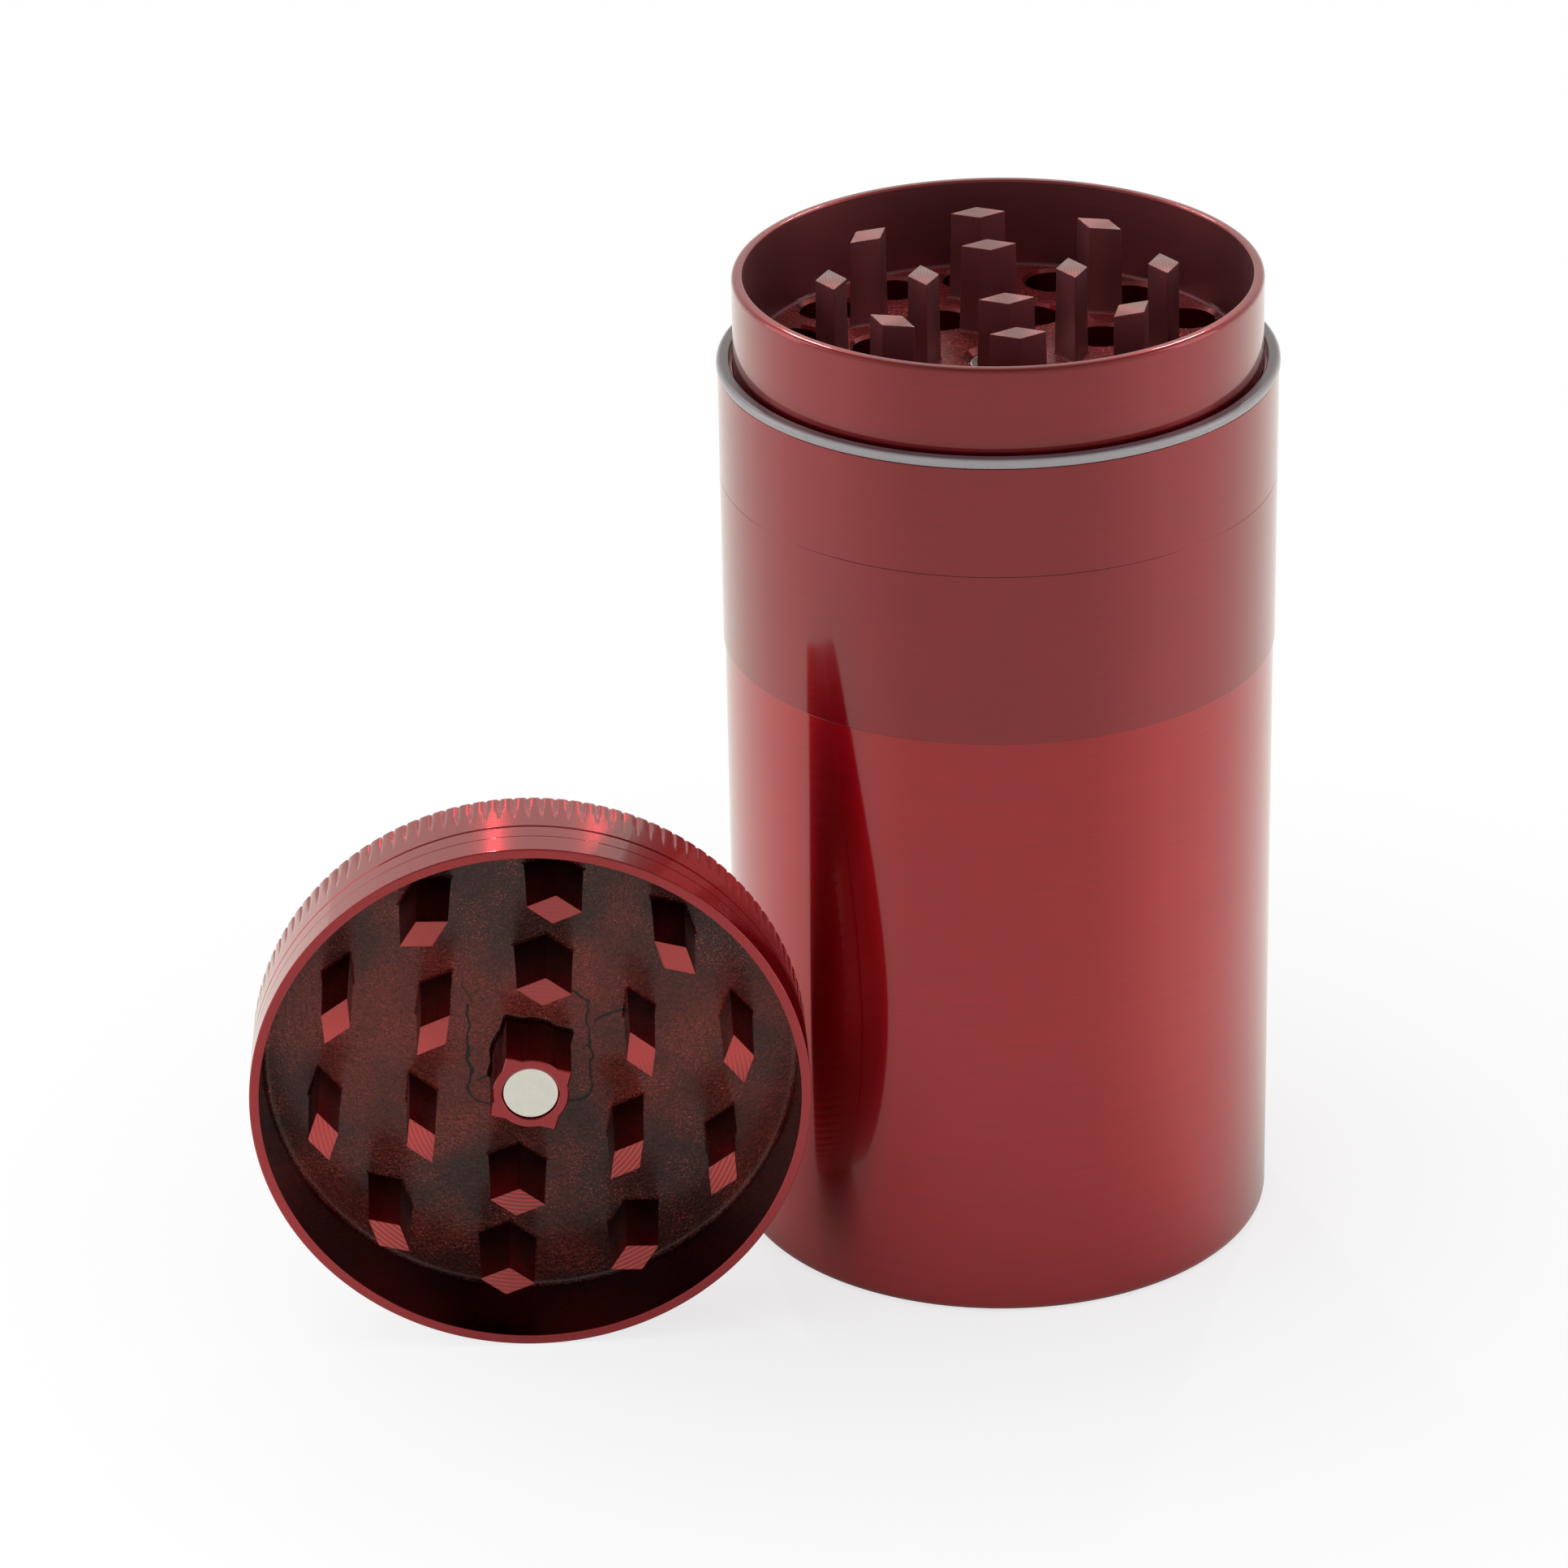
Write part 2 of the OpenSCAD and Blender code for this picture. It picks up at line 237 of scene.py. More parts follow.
def linked(name, data):
    """A new object at the origin of the scene."""
    obj = bpy.data.objects.new(name, data)
    bpy.context.scene.collection.objects.link(obj)
    return obj


def to_mesh(name, shape):
    mesh = bpy.data.meshes.new(name)
    shape.to_mesh(mesh)
    shape.free()
    return mesh


def finished(obj, sharp=32):
    """obj, smooth except across edges over that many degrees."""
    mesh = obj.data
    mesh.polygons.foreach_set("use_smooth", [True] * len(mesh.polygons))
    mesh.set_sharp_from_angle(angle=radians(sharp))
    return obj


def piece(name, shape, material=None, place=None):
    """An object from a bmesh, moved to its place."""
    mesh = to_mesh(name, shape)
    if place is not None:
        mesh.transform(place)
    if material:
        mesh.materials.append(material)
    return finished(linked(name, mesh))


def turned(name, corners, material=None, steps=4, sides=SIDES, place=None):
    """A piece turned on a lathe through eased corners."""
    return piece(name, revolved(eased(corners, steps), evenly(sides)), material, place)


def drop(obj):
    mesh = obj.data
    bpy.data.objects.remove(obj)
    bpy.data.meshes.remove(mesh)


def joined(name, parts):
    """One object from several meshes that keep their materials."""
    shape = bmesh.new()
    materials = []
    for part in parts:
        start = len(shape.faces)
        offset = len(materials)
        materials += list(part.data.materials)
        shape.from_mesh(part.data)
        shape.faces.ensure_lookup_table()
        for face in shape.faces[start:]:
            face.material_index += offset
        drop(part)
    mesh = to_mesh(name, shape)
    for material in materials:
        mesh.materials.append(material)
    return linked(name, mesh)


def baked(obj):
    """obj with its modifiers made into its mesh."""
    view = bpy.context.evaluated_depsgraph_get()
    mesh = bpy.data.meshes.new_from_object(obj.evaluated_get(view))
    obj.modifiers.clear()
    old = obj.data
    obj.data = mesh
    bpy.data.meshes.remove(old)
    mesh.name = obj.name
    return obj


def cut(obj, tool, operation):
    """Puts obj through a boolean with tool, which is used up."""
    step = obj.modifiers.new(operation, "BOOLEAN")
    step.operation, step.object, step.solver = operation, tool, "EXACT"
    baked(obj)
    drop(tool)


# ---------------------------------------------------------------------------
# Nodes
# ---------------------------------------------------------------------------
class Tree:
    """A node tree, written as calls that hand on sockets."""

    def __init__(self, tree):
        self.nodes, self.links = tree.nodes, tree.links

    def feed(self, socket, value):
        if isinstance(value, bpy.types.NodeSocket):
            self.links.new(value, socket)
        else:
            socket.default_value = value

    def outputs(self, kind, *inputs, **settings):
        """The outputs of a new node, which (input, value) pairs feed."""
        node = self.nodes.new(kind)
        for key, value in settings.items():
            setattr(node, key, value)
        for key, value in inputs:
            self.feed(node.inputs[key], value)
        return node.outputs

    def node(self, kind, *inputs, out=0, **settings):
        """One output of a new node."""
        return self.outputs(kind, *inputs, **settings)[out]

    def math(self, operation, *values):
        return self.node("ShaderNodeMath", *enumerate(values), operation=operation)

    def plus(self, a, b):
        return self.math("ADD", a, b)

    def minus(self, a, b):
        return self.math("SUBTRACT", a, b)

    def times(self, a, b):
        return self.math("MULTIPLY", a, b)

    def over(self, a, b):
        return self.math("DIVIDE", a, b)

    def length(self, x, y):
        return self.math("SQRT", self.plus(self.times(x, x), self.times(y, y)))

    def spread(self, value, low, high, to_low, to_high, **settings):
        """The value, carried from one range over to another."""
        return self.node("ShaderNodeMapRange", ("Value", value), ("From Min", low),
                         ("From Max", high), ("To Min", to_low), ("To Max", to_high), **settings)

    def either(self, factor, no, yes):
        """One shader where the factor is 0, another where it is 1."""
        return self.node("ShaderNodeMixShader", (0, factor), (1, no), (2, yes))

    def vector(self, **parts):
        return self.node("ShaderNodeCombineXYZ", *parts.items())

    def split(self, vector):
        return self.outputs("ShaderNodeSeparateXYZ", (0, vector))


# ---------------------------------------------------------------------------
# Geometry Nodes: what repeats or follows a path
# ---------------------------------------------------------------------------
class Rule(Tree):
    """A Geometry Nodes tree with named sizes."""

    def __init__(self, name, **sizes):
        self.group = bpy.data.node_groups.new(name, "GeometryNodeTree")
        super().__init__(self.group)
        for key, kind in {"Geometry": "Geometry", **sizes}.items():
            self.group.interface.new_socket(key, in_out="INPUT", socket_type="NodeSocket" + kind)
        self.group.interface.new_socket("Geometry", in_out="OUTPUT",
                                        socket_type="NodeSocketGeometry")
        self.size = self.nodes.new("NodeGroupInput").outputs
        self.exit = self.nodes.new("NodeGroupOutput")

    def stood(self, geometry, height, turn=0.0):
        """The geometry turned about Z and raised."""
        return self.node("GeometryNodeTransform", ("Geometry", geometry),
                         ("Translation", self.vector(Z=height)),
                         ("Rotation", self.vector(Z=turn)))

    def end(self, geometry):
        whole = self.node("GeometryNodeRealizeInstances", (0, geometry))
        done = self.node("GeometryNodeSetMaterial", ("Geometry", whole),
                         ("Material", self.size["Finish"]))
        self.links.new(done, self.exit.inputs[0])
        return self

    def make(self, name, blank=None, **values):
        """A plain mesh object: the tree's result on the blank, or on nothing."""
        obj = blank or linked(name, bpy.data.meshes.new(name))
        step = obj.modifiers.new("rule", "NODES")
        step.node_group = self.group
        for item in self.group.interface.items_tree:
            if item.in_out == "INPUT" and item.name in values:
                step[item.identifier] = values[item.name]
        obj.name = name
        return baked(obj)


def ring_rule():
    """Copies of one tool or tooth round a circle, each turned to face outwards."""
    t = Rule("ring", Piece="Object", Count="Int", Radius="Float", First="Float",
             Height="Float", Finish="Material")
    circle = t.node("GeometryNodeMeshCircle", ("Vertices", t.size["Count"]),
                    ("Radius", t.size["Radius"]))
    angle = t.times(t.node("GeometryNodeInputIndex"), t.over(TURN, t.size["Count"]))
    copy = t.node("GeometryNodeObjectInfo", ("Object", t.size["Piece"]), out="Geometry")
    ring = t.node("GeometryNodeInstanceOnPoints", ("Points", circle), ("Instance", copy),
                  ("Rotation", t.vector(Z=angle)))
    return t.end(t.stood(ring, t.size["Height"], t.size["First"]))


def thread_rule():
    """A screw thread's ridge along a helix, tapered out over a 14th of it at both ends."""
    t = Rule("thread", Radius="Float", Turns="Float", Pitch="Float", Height="Float",
             Flank="Float", Crest="Float", Inward="Float", Low="Float", First="Float",
             Finish="Material")
    rise = t.times(t.size["Turns"], t.size["Pitch"])
    helix = t.node("GeometryNodeCurveSpiral", ("Resolution", 96), ("Rotations", t.size["Turns"]),
                   ("Start Radius", t.size["Radius"]), ("End Radius", t.size["Radius"]),
                   ("Height", rise), ("Reverse", False))
    helix = t.node("GeometryNodeSetCurveNormal", ("Curve", helix), mode="Z_UP")
    along = t.node("GeometryNodeSplineParameter", out="Factor")
    ends = t.times(t.math("MINIMUM", along, t.minus(1.0, along)), 14.0)
    swell = t.math("MAXIMUM", t.math("MINIMUM", ends, 1.0), 0.02)
    helix = t.node("GeometryNodeSetCurveRadius", ("Curve", helix), ("Radius", swell))
    # a trapezoid, sunk a little into the wall, and narrower at the crest
    corners = []
    for side, depth, half in ((-1.0, -0.15, "Flank"), (1.0, -0.15, "Flank"),
                              (1.0, 1.0, "Crest"), (-1.0, 1.0, "Crest")):
        x = t.times(t.times(t.size["Height"], depth), t.size["Inward"])
        corners.append(t.vector(X=x, Y=t.times(t.size[half], side)))
    points = [(f"Point {i}", corner) for i, corner in enumerate(corners, 1)]
    section = t.node("GeometryNodeCurvePrimitiveQuadrilateral", *points, mode="POINTS")
    ridge = t.node("GeometryNodeCurveToMesh", ("Curve", helix), ("Profile Curve", section),
                   ("Fill Caps", True))
    return t.end(t.stood(ridge, t.size["Low"], t.size["First"]))


def flute_rule():
    """Presses evenly spaced round troughs, which run out at one end, into a turned blank."""
    t = Rule("flutes", Count="Int", Radius="Float", Width="Float", Depth="Float",
             Start="Float", Runout="Float", Finish="Material")
    x, y, z = t.split(t.node("GeometryNodeInputPosition"))
    phase = t.times(t.over(t.math("ARCTAN2", y, x), TURN), t.size["Count"])
    off = t.math("ABSOLUTE", t.minus(phase, t.math("ROUND", phase)))
    away = t.times(off, t.over(t.times(t.size["Radius"], TURN), t.size["Count"]))
    end = t.minus(t.size["Start"], t.size["Runout"])
    runs = t.spread(z, t.size["Start"], end, 0.0, 1.0)
    half = t.times(t.size["Width"], t.plus(0.2, t.times(runs, 0.3)))
    trough = t.spread(away, 0.0, half, 1.0, 0.0, interpolation_type="SMOOTHSTEP")
    far = t.node("ShaderNodeVectorMath", (0, t.vector(X=x, Y=y)), operation="LENGTH",
                 out="Value")
    outside = t.math("GREATER_THAN", far, t.minus(t.size["Radius"], 0.8 * MM))
    pressed = t.times(t.times(trough, runs), outside)
    keep = t.minus(1.0, t.over(t.times(pressed, t.size["Depth"]), far))
    moved = t.vector(X=t.times(x, keep), Y=t.times(y, keep), Z=z)
    return t.end(t.node("GeometryNodeSetPosition", ("Geometry", t.size["Geometry"]),
                        ("Position", moved)))


def weave_rule():
    """A round plain-woven screen of wires that go over and under each other."""
    t = Rule("weave", Radius="Float", Pitch="Float", Wire="Float", Rows="Int",
             Points="Int", Height="Float", Finish="Material")
    whole = t.size["Radius"]
    row = t.node("GeometryNodeInputIndex")
    middle = t.times(t.minus(t.size["Rows"], 1), 0.5)
    line = t.node("GeometryNodeMeshLine", ("Count", t.size["Rows"]), mode="OFFSET")
    y = t.times(t.minus(row, middle), t.size["Pitch"])
    line = t.node("GeometryNodeSetPosition", ("Geometry", line), ("Position", t.vector(Y=y)))
    start, end = (t.vector(X=t.times(whole, side)) for side in (-1.0, 1.0))
    wire = t.node("GeometryNodeCurvePrimitiveLine", ("Start", start), ("End", end))
    wire = t.node("GeometryNodeResampleCurve", ("Curve", wire), ("Count", t.size["Points"]))
    wires = t.node("GeometryNodeInstanceOnPoints", ("Points", line), ("Instance", wire))
    wires = t.node("GeometryNodeRealizeInstances", (0, wires))
    # each wire is cut to its chord of the circle, and waves by half its thickness
    x, y, _ = t.split(t.node("GeometryNodeInputPosition"))
    square = t.minus(t.times(whole, whole), t.times(y, y))
    x = t.times(x, t.over(t.math("SQRT", t.math("MAXIMUM", square, 1e-8)), whole))
    wave = t.math("SINE", t.times(t.over(x, t.size["Pitch"]), pi))
    number = t.math("FLOOR", t.over(y, t.size["Pitch"]))
    sign = t.math("COSINE", t.times(number, pi))
    thick = t.times(t.size["Wire"], 0.5)
    wires = t.node("GeometryNodeSetPosition", ("Geometry", wires),
                   ("Position", t.vector(X=x, Y=y, Z=t.times(t.times(wave, sign), thick))))
    section = t.node("GeometryNodeCurvePrimitiveCircle", ("Resolution", 4), ("Radius", thick))
    warp = t.node("GeometryNodeCurveToMesh", ("Curve", wires), ("Profile Curve", section),
                  ("Fill Caps", True))
    weft = t.node("GeometryNodeTransform", ("Geometry", warp), ("Rotation", (0, 0, pi / 2)))
    both = t.nodes.new("GeometryNodeJoinGeometry")
    t.links.new(warp, both.inputs[0])
    t.links.new(weft, both.inputs[0])
    return t.end(t.stood(both.outputs[0], t.size["Height"]))


# ---------------------------------------------------------------------------
# Finishes
# ---------------------------------------------------------------------------
# how fine turning lines are across themselves, and how slowly they change round the piece
LINES_ACROSS = 9000.0
LINES_ROUND = 2.0
# half a hairline's dark middle and half its whole width, in mm
HAIR_DARK = 0.055
HAIR_WIDE = 0.12


class Finish(Tree):
    """A material built round one Principled shader. Its noises are scaled to the metre."""

    def __init__(self, name, place=None, **fixed):
        self.material = bpy.data.materials.new(name)
        self.material.use_nodes = True
        super().__init__(self.material.node_tree)
        self.shader = self.nodes["Principled BSDF"]
        for key, value in fixed.items():
            self.shader.inputs[key.replace("_", " ")].default_value = value
        self.place = self.node("ShaderNodeTexCoord", out="Object")
        if place is not None:
            back = place.inverted()
            self.place = self.node("ShaderNodeMapping", ("Vector", self.place),
                                   ("Location", back.to_translation()),
                                   ("Rotation", back.to_euler()))

    def set(self, key, value):
        self.feed(self.shader.inputs[key], value)

    def roughness(self, noise, low, high, weak=0.3, strong=0.7):
        self.set("Roughness", self.spread(noise, weak, strong, low, high))

    def noise(self, scale, detail=2.0, rough=0.5, at=None):
        return self.node("ShaderNodeTexNoise", ("Vector", self.place if at is None else at),
                         ("Scale", scale), ("Detail", detail), ("Roughness", rough))

    def mix(self, factor, a, b):
        colours = self.outputs("ShaderNodeMix", (0, factor), (6, a), (7, b), data_type="RGBA")
        return colours[2]

    def bump(self, *layers):
        """Stacks (height, strength, depth in mm) layers into the shader's normal."""
        below = []
        for height, strength, depth in layers:
            normal = self.node("ShaderNodeBump", ("Height", height), ("Strength", strength),
                               ("Distance", depth * MM), *below)
            below = [("Normal", normal)]
        self.set("Normal", normal)

    def across_the_lines(self, axis):
        """Spreads highlights across lines that run round the axis."""
        self.set("Tangent", self.node("ShaderNodeTangent", direction_type="RADIAL", axis=axis))

    def hair(self, distance):
        """1 on a hairline where the distance in mm is near nothing, 0 away from it."""
        return self.spread(self.math("ABSOLUTE", distance), HAIR_DARK, HAIR_WIDE, 1.0, 0.0)

    def turning_lines(self):
        """Noise in fine rings round the piece's own Z, as a lathe tool leaves them."""
        x, y, z = self.split(self.place)
        at = self.vector(X=self.times(self.length(x, y), LINES_ACROSS),
                         Y=self.times(z, LINES_ACROSS),
                         Z=self.times(self.math("ARCTAN2", y, x), LINES_ROUND))
        return self.noise(1.0, 3.0, 0.65, at)


def colour(tone, scale=1.0, lift=0.0):
    """The tone made lighter or darker, as an opaque colour."""
    return (*(min(1.0, c * scale + lift) for c in tone), 1.0)


def anodised(name, dye, place=None, tangent="Z", roughness=0.32, stretch=0.7, gloss=0.07):
    """Satin anodised aluminium with fine turning lines: dyed metal under a clear oxide."""
    f = Finish(name, place, Metallic=1.0, Anisotropic=stretch, Anisotropic_Rotation=0.25,
               Coat_Weight=1.0, Coat_Roughness=gloss, Coat_IOR=1.66)
    fine = f.turning_lines()
    broad = f.noise(140.0, 3.0)
    light, dark = colour(dye, 1.16), colour(dye, 0.86)
    dyed = f.mix(f.spread(fine, 0.25, 0.75, 0.0, 1.0), dark, light)
    f.set("Base Color", f.mix(f.spread(broad, 0.3, 0.7, 0.0, 0.35), dyed, dark))
    f.roughness(fine, roughness - 0.04, roughness + 0.05, 0.2, 0.8)
    f.across_the_lines(tangent)
    f.bump((fine, 0.06, 0.02))
    return f.material


def shaded_milled_sides(name, dye, shade):
    """Milled flanks in the lid, dyed, with painted shade that darkens them towards its floor."""
    f = Finish(name, LID_STAND, Metallic=1.0, Coat_Weight=0.25, Coat_Roughness=0.12,
               Coat_IOR=1.6)
    _, _, z = f.split(f.place)
    streak = f.noise(900.0, 3.0, 0.6)
    # painted shade: the colour runs from the shade colour at the floor up to the dye near the rim
    up = f.plus(f.spread(z, -LID_DEPTH * MM, -1.0 * MM, 0.0, 1.0),
                f.spread(streak, 0.3, 0.7, -0.1, 0.1))
    f.set("Base Color", f.mix(f.math("POWER", f.math("MAXIMUM", up, 0.0), 2.0),
                              colour(shade), colour(dye)))
    f.roughness(streak, 0.2, 0.32)
    f.bump((streak, 0.05, 0.02))
    return f.material


def faced_tips(name, dye, depth, painted_sheen, place=None, tangent="Z", pitch=0.29, painted_ring_fade=1.0):
    """Tooth tips faced on a lathe: fine rings round the piece's axis, pitch mm apart, whose
    contrast fades towards its Y as painted light, for where the highlight shows them less. With a
    painted sheen the tips to either side of the axis are painted lighter, like a bow-tie
    highlight, and painted darker when the sheen is negative."""
    f = Finish(name, place, Metallic=1.0, Anisotropic=0.8, Anisotropic_Rotation=0.25,
               Coat_Weight=1.0, Coat_Roughness=0.28, Coat_IOR=1.66)
    x, y, _ = f.split(f.place)
    far = f.length(x, y)
    drift = f.times(f.noise(260.0), 0.12 * MM)
    rings = f.math("SINE", f.times(f.plus(far, drift), TURN / (pitch * MM)))
    # the rings' contrast varies at random, and fades towards +Y as painted light, where the
    # highlight shows them less
    rings = f.times(rings, f.times(f.spread(f.noise(75.0, 1.0), 0.40, 0.56, 0.5, 1.0),
                                   f.spread(y, 4.0 * MM, 1.2 * MM, painted_ring_fade, 1.0)))
    grain = f.noise(5200.0, 3.0, 0.6)
    # painted bow-tie sheen: the tips to either side of the axis are painted lighter, and darker
    # when the sheen is negative
    bow_tie_sheen = f.math("POWER", f.over(x, f.math("MAXIMUM", far, 1e-6)), 2.0)
    tone = f.plus(f.times(rings, 0.75), f.times(f.minus(bow_tie_sheen, 0.5), painted_sheen))
    f.set("Base Color", f.mix(f.plus(tone, f.spread(grain, 0.3, 0.7, 0.5, 0.7)),
                              colour(dye, 0.55), colour(dye, 1.3)))
    f.roughness(grain, 0.4, 0.55)
    f.across_the_lines(tangent)
    f.bump((rings, depth, 0.02), (grain, 0.25, 0.012))
    return f.material


def rough_floor(name, deep, glow, place=None, scores=None, coat=0.6):
    """A dyed floor with the pebbled skin that blasting leaves, and scores cut into it."""
    f = Finish(name, place, Metallic=1.0, Coat_Weight=coat, Coat_Roughness=0.22, Coat_IOR=1.6)
    pebble = f.noise(3000.0, 3.0, 0.6)
    grit = f.noise(5200.0, 2.0, 0.6)
    cloud = f.noise(62.0, 3.0)
    tint = f.mix(f.spread(cloud, 0.40, 0.62, 0.0, 1.0), colour(deep), colour(glow))
    specks = f.times(f.spread(grit, 0.53, 0.63, 0.0, 1.0),
                     f.spread(f.noise(240.0), 0.42, 0.62, 0.15, 0.9))
    skin = f.mix(specks, tint, colour(glow, 1.9, 0.03))
    relief = f.plus(f.times(pebble, 1.2), f.times(grit, 0.6))
    if scores:
        line = scores(f)
        skin = f.mix(line, skin, colour((0.004, 0.001, 0.001)))
        relief = f.minus(relief, f.times(line, 1.5))
    f.set("Base Color", skin)
    f.roughness(pebble, 0.2, 0.34)
    f.bump((relief, 1.0, 0.3))
    return f.material


# a U round the post: how far out its straight sides start, how far down its foot starts, the
# radius that joins them, and the height where it ends; then straight spurs from x, y to x, y
SCORED_U = (3.4, 3.2, 2.0, 5.2)
SCORED_SPURS = ((5.9, 3.2, 8.6, 4.2), (3.9, 6.1, 5.6, 5.0), (-6.0, 7.2, -5.0, 5.3),
                (-4.9, -2.7, -3.7, -1.9), (4.7, 0.2, 5.6, 1.0))


def lid_scores(f):
    """Thin wandering tool scores on the lid's floor: a U round the post and a few spurs."""
    wander = f.times(f.minus(f.noise(420.0), 0.5), 1.7)
    x, y, _ = f.split(f.place)
    x, y = f.times(x, 1 / MM), f.times(y, 1 / MM)
    out, down, bend, top = SCORED_U
    beside = f.math("MAXIMUM", f.minus(f.math("ABSOLUTE", x), out), 0.0)
    below = f.math("MINIMUM", f.plus(y, down), 0.0)
    off = f.minus(f.length(beside, below), bend)
    found = f.times(f.hair(f.plus(off, wander)), f.math("LESS_THAN", y, top))
    for x0, y0, x1, y1 in SCORED_SPURS:
        off = f.minus(f.minus(y, y0), f.times(f.minus(x, x0), (y1 - y0) / (x1 - x0)))
        spur = f.hair(f.plus(off, f.times(wander, 0.5)))
        inside = f.times(f.math("GREATER_THAN", x, x0), f.math("LESS_THAN", x, x1))
        found = f.math("MAXIMUM", found, f.times(spur, inside))
    return found


def plated(name, tone, roughness):
    """Nickel plate on a magnet's face, slightly dulled."""
    f = Finish(name, Metallic=1.0)
    haze = f.noise(900.0, 3.0)
    f.set("Base Color", f.mix(haze, colour(tone), colour(tone, 0.93)))
    f.roughness(haze, roughness - 0.05, roughness + 0.06)
    f.bump((f.noise(4000.0), 0.03, 0.004))
    return f.material


def milky_nylon(name):
    """Milky nylon with painted light: its face painted a dark red-lilac reflection of the red
    neck, its outer edge a painted highlight.
    """
    f = Finish(name, Transmission_Weight=0.2, IOR=1.5, Coat_Weight=0.6, Coat_Roughness=0.14)
    x, y, _ = f.split(f.place)
    # painted light: the outer edge is painted pale as a highlight, the face dark red-lilac as a
    # painted reflection
    edge = f.spread(f.length(x, y), (WASHER_R - 0.38) * MM, (WASHER_R - 0.08) * MM, 0.0, 1.0)
    cloud = f.noise(420.0, 3.0)
    face = f.mix(cloud, colour((0.10, 0.070, 0.088)), colour((0.155, 0.115, 0.135)))
    edge_highlight = f.mix(cloud, colour((0.42, 0.39, 0.41)), colour((0.47, 0.44, 0.46)))
    f.set("Base Color", f.mix(edge, face, edge_highlight))
    f.roughness(cloud, 0.26, 0.38)
    f.bump((f.noise(3500.0), 0.08, 0.01))
    return f.material


def bare_steel(name, tone, roughness):
    f = Finish(name, Metallic=1.0)
    haze = f.noise(2500.0, 3.0)
    f.set("Base Color", f.mix(haze, colour(tone), colour(tone, 0.82)))
    f.roughness(haze, roughness - 0.05, roughness + 0.07)
    f.bump((haze, 0.1, 0.01))
    return f.material


jar_red = anodised("red_anodised_jar", (0.42, 0.0012, 0.0095))
upper_red = anodised("red_anodised_rings", (0.285, 0.0012, 0.0075))
bore_red = anodised("red_anodised_bore", (0.215, 0.036, 0.048), roughness=0.5, gloss=0.42)
# the chamber's tips: painted sheen darkens those to either side of the axis
chamber_tips = faced_tips("faced_tips_chamber", (0.29, 0.055, 0.055), depth=0.3, painted_sheen=-0.4)
chamber_floor = rough_floor("blasted_floor_chamber", (0.36, 0.030, 0.036),
                            (0.54, 0.052, 0.060))
lid_red = anodised("red_anodised_lid", (0.40, 0.0012, 0.0095), LID_STAND, tangent="Y",
                   roughness=0.26, stretch=0.85)
# the teeth's flanks: red dye, with painted shade down to near black at their roots
lid_sides = shaded_milled_sides("red_anodised_teeth", (0.40, 0.001, 0.006), (0.05, 0.0008, 0.002))
# the skirt's inner wall: painted shade, much darker than the lid's red and darkest at the floor
lid_wall_shaded = shaded_milled_sides("dark_wall_lid", (0.20, 0.001, 0.005), (0.13, 0.001, 0.004))
# the lid's tips: painted sheen lightens those to either side of the axis, and the rings' contrast
# is painted to fade towards +Y
lid_tips = faced_tips("faced_tips_lid", (0.56, 0.038, 0.038), depth=1.6, painted_sheen=0.4,
                      place=LID_STAND, tangent="Y", pitch=0.4, painted_ring_fade=0.1)
lid_floor = rough_floor("blasted_floor_lid", (0.110, 0.050, 0.045), (0.440, 0.072, 0.058),
                        LID_STAND, scores=lid_scores)
# near-black painted shade on the post's flare, where it meets the floor
post_root_shade = rough_floor("dark_root_lid", (0.020, 0.007, 0.006), (0.040, 0.010, 0.008),
                        LID_STAND, coat=0.1)
nickel = plated("nickel_plate", (1.0, 1.0, 0.93), 0.27)
nylon = milky_nylon("milky_nylon")
wire_steel = bare_steel("woven_steel", (0.55, 0.55, 0.54), 0.35)
spring_steel = bare_steel("spring_steel", (0.60, 0.60, 0.60), 0.3)

ring = ring_rule()
thread = thread_rule()
flutes = flute_rule()
weave = weave_rule()


# ---------------------------------------------------------------------------
# Threads
# ---------------------------------------------------------------------------
def ridge(name, radius, low, high, inward, material):
    """A thread's ridge between two heights. Mating ridges share one helix, half a pitch apart."""
    height = THREAD_H - (THREAD_PLAY if inward else 0.0)
    first = TURN * (low / THREAD_PITCH % 1.0 + (0.5 if inward else 0.0))
    obj = thread.make(name, Radius=radius * MM, Turns=(high - low) / THREAD_PITCH,
                      Pitch=THREAD_PITCH * MM, Height=height * MM, Flank=THREAD_FLANK * MM,
                      Crest=THREAD_CREST * MM, Inward=1.0 if inward else -1.0, Low=low * MM,
                      First=first, Finish=material)
    shape = bmesh.new()
    shape.from_mesh(obj.data)
    bmesh.ops.remove_doubles(shape, verts=shape.verts, dist=1e-7)
    bmesh.ops.recalc_face_normals(shape, faces=shape.faces)
    shape.to_mesh(obj.data)
    shape.free()
    return finished(obj, 25)


def spigot_thread(name, seam, material):
    """The thread on the spigot below a seam."""
    below, above = SPIGOT_PLAIN
    return ridge(name, SPIGOT_R - THREAD_H, seam - SPIGOT_L + below, seam - above, False,
                 material)


def socket_thread(name, seam, material):
    """The thread in the socket below a seam."""
    below, above = SOCKET_PLAIN
    return ridge(name, SOCKET_R, seam - SOCKET_L + below, seam - above, True, material)


# ---------------------------------------------------------------------------
# Jar
# ---------------------------------------------------------------------------
def make_jar():
    socket = SEAM_JAR - SOCKET_L
    shell = turned("jar_shell", [
        (0, 0, 0), (JAR_R, 0, FOOT_EASE), (JAR_R, SEAM_JAR, SEAM_EASE),
        (SOCKET_R, SEAM_JAR, MOUTH_EASE), (SOCKET_R, socket, 0), (JAR_BORE_R, socket, 0.15),
        (JAR_BORE_R, JAR_FLOOR, JAR_FILLET), (0, JAR_FLOOR, 0),
    ], jar_red, steps=5)
    return joined("storage_jar", [shell, socket_thread("jar_thread", SEAM_JAR, jar_red)])


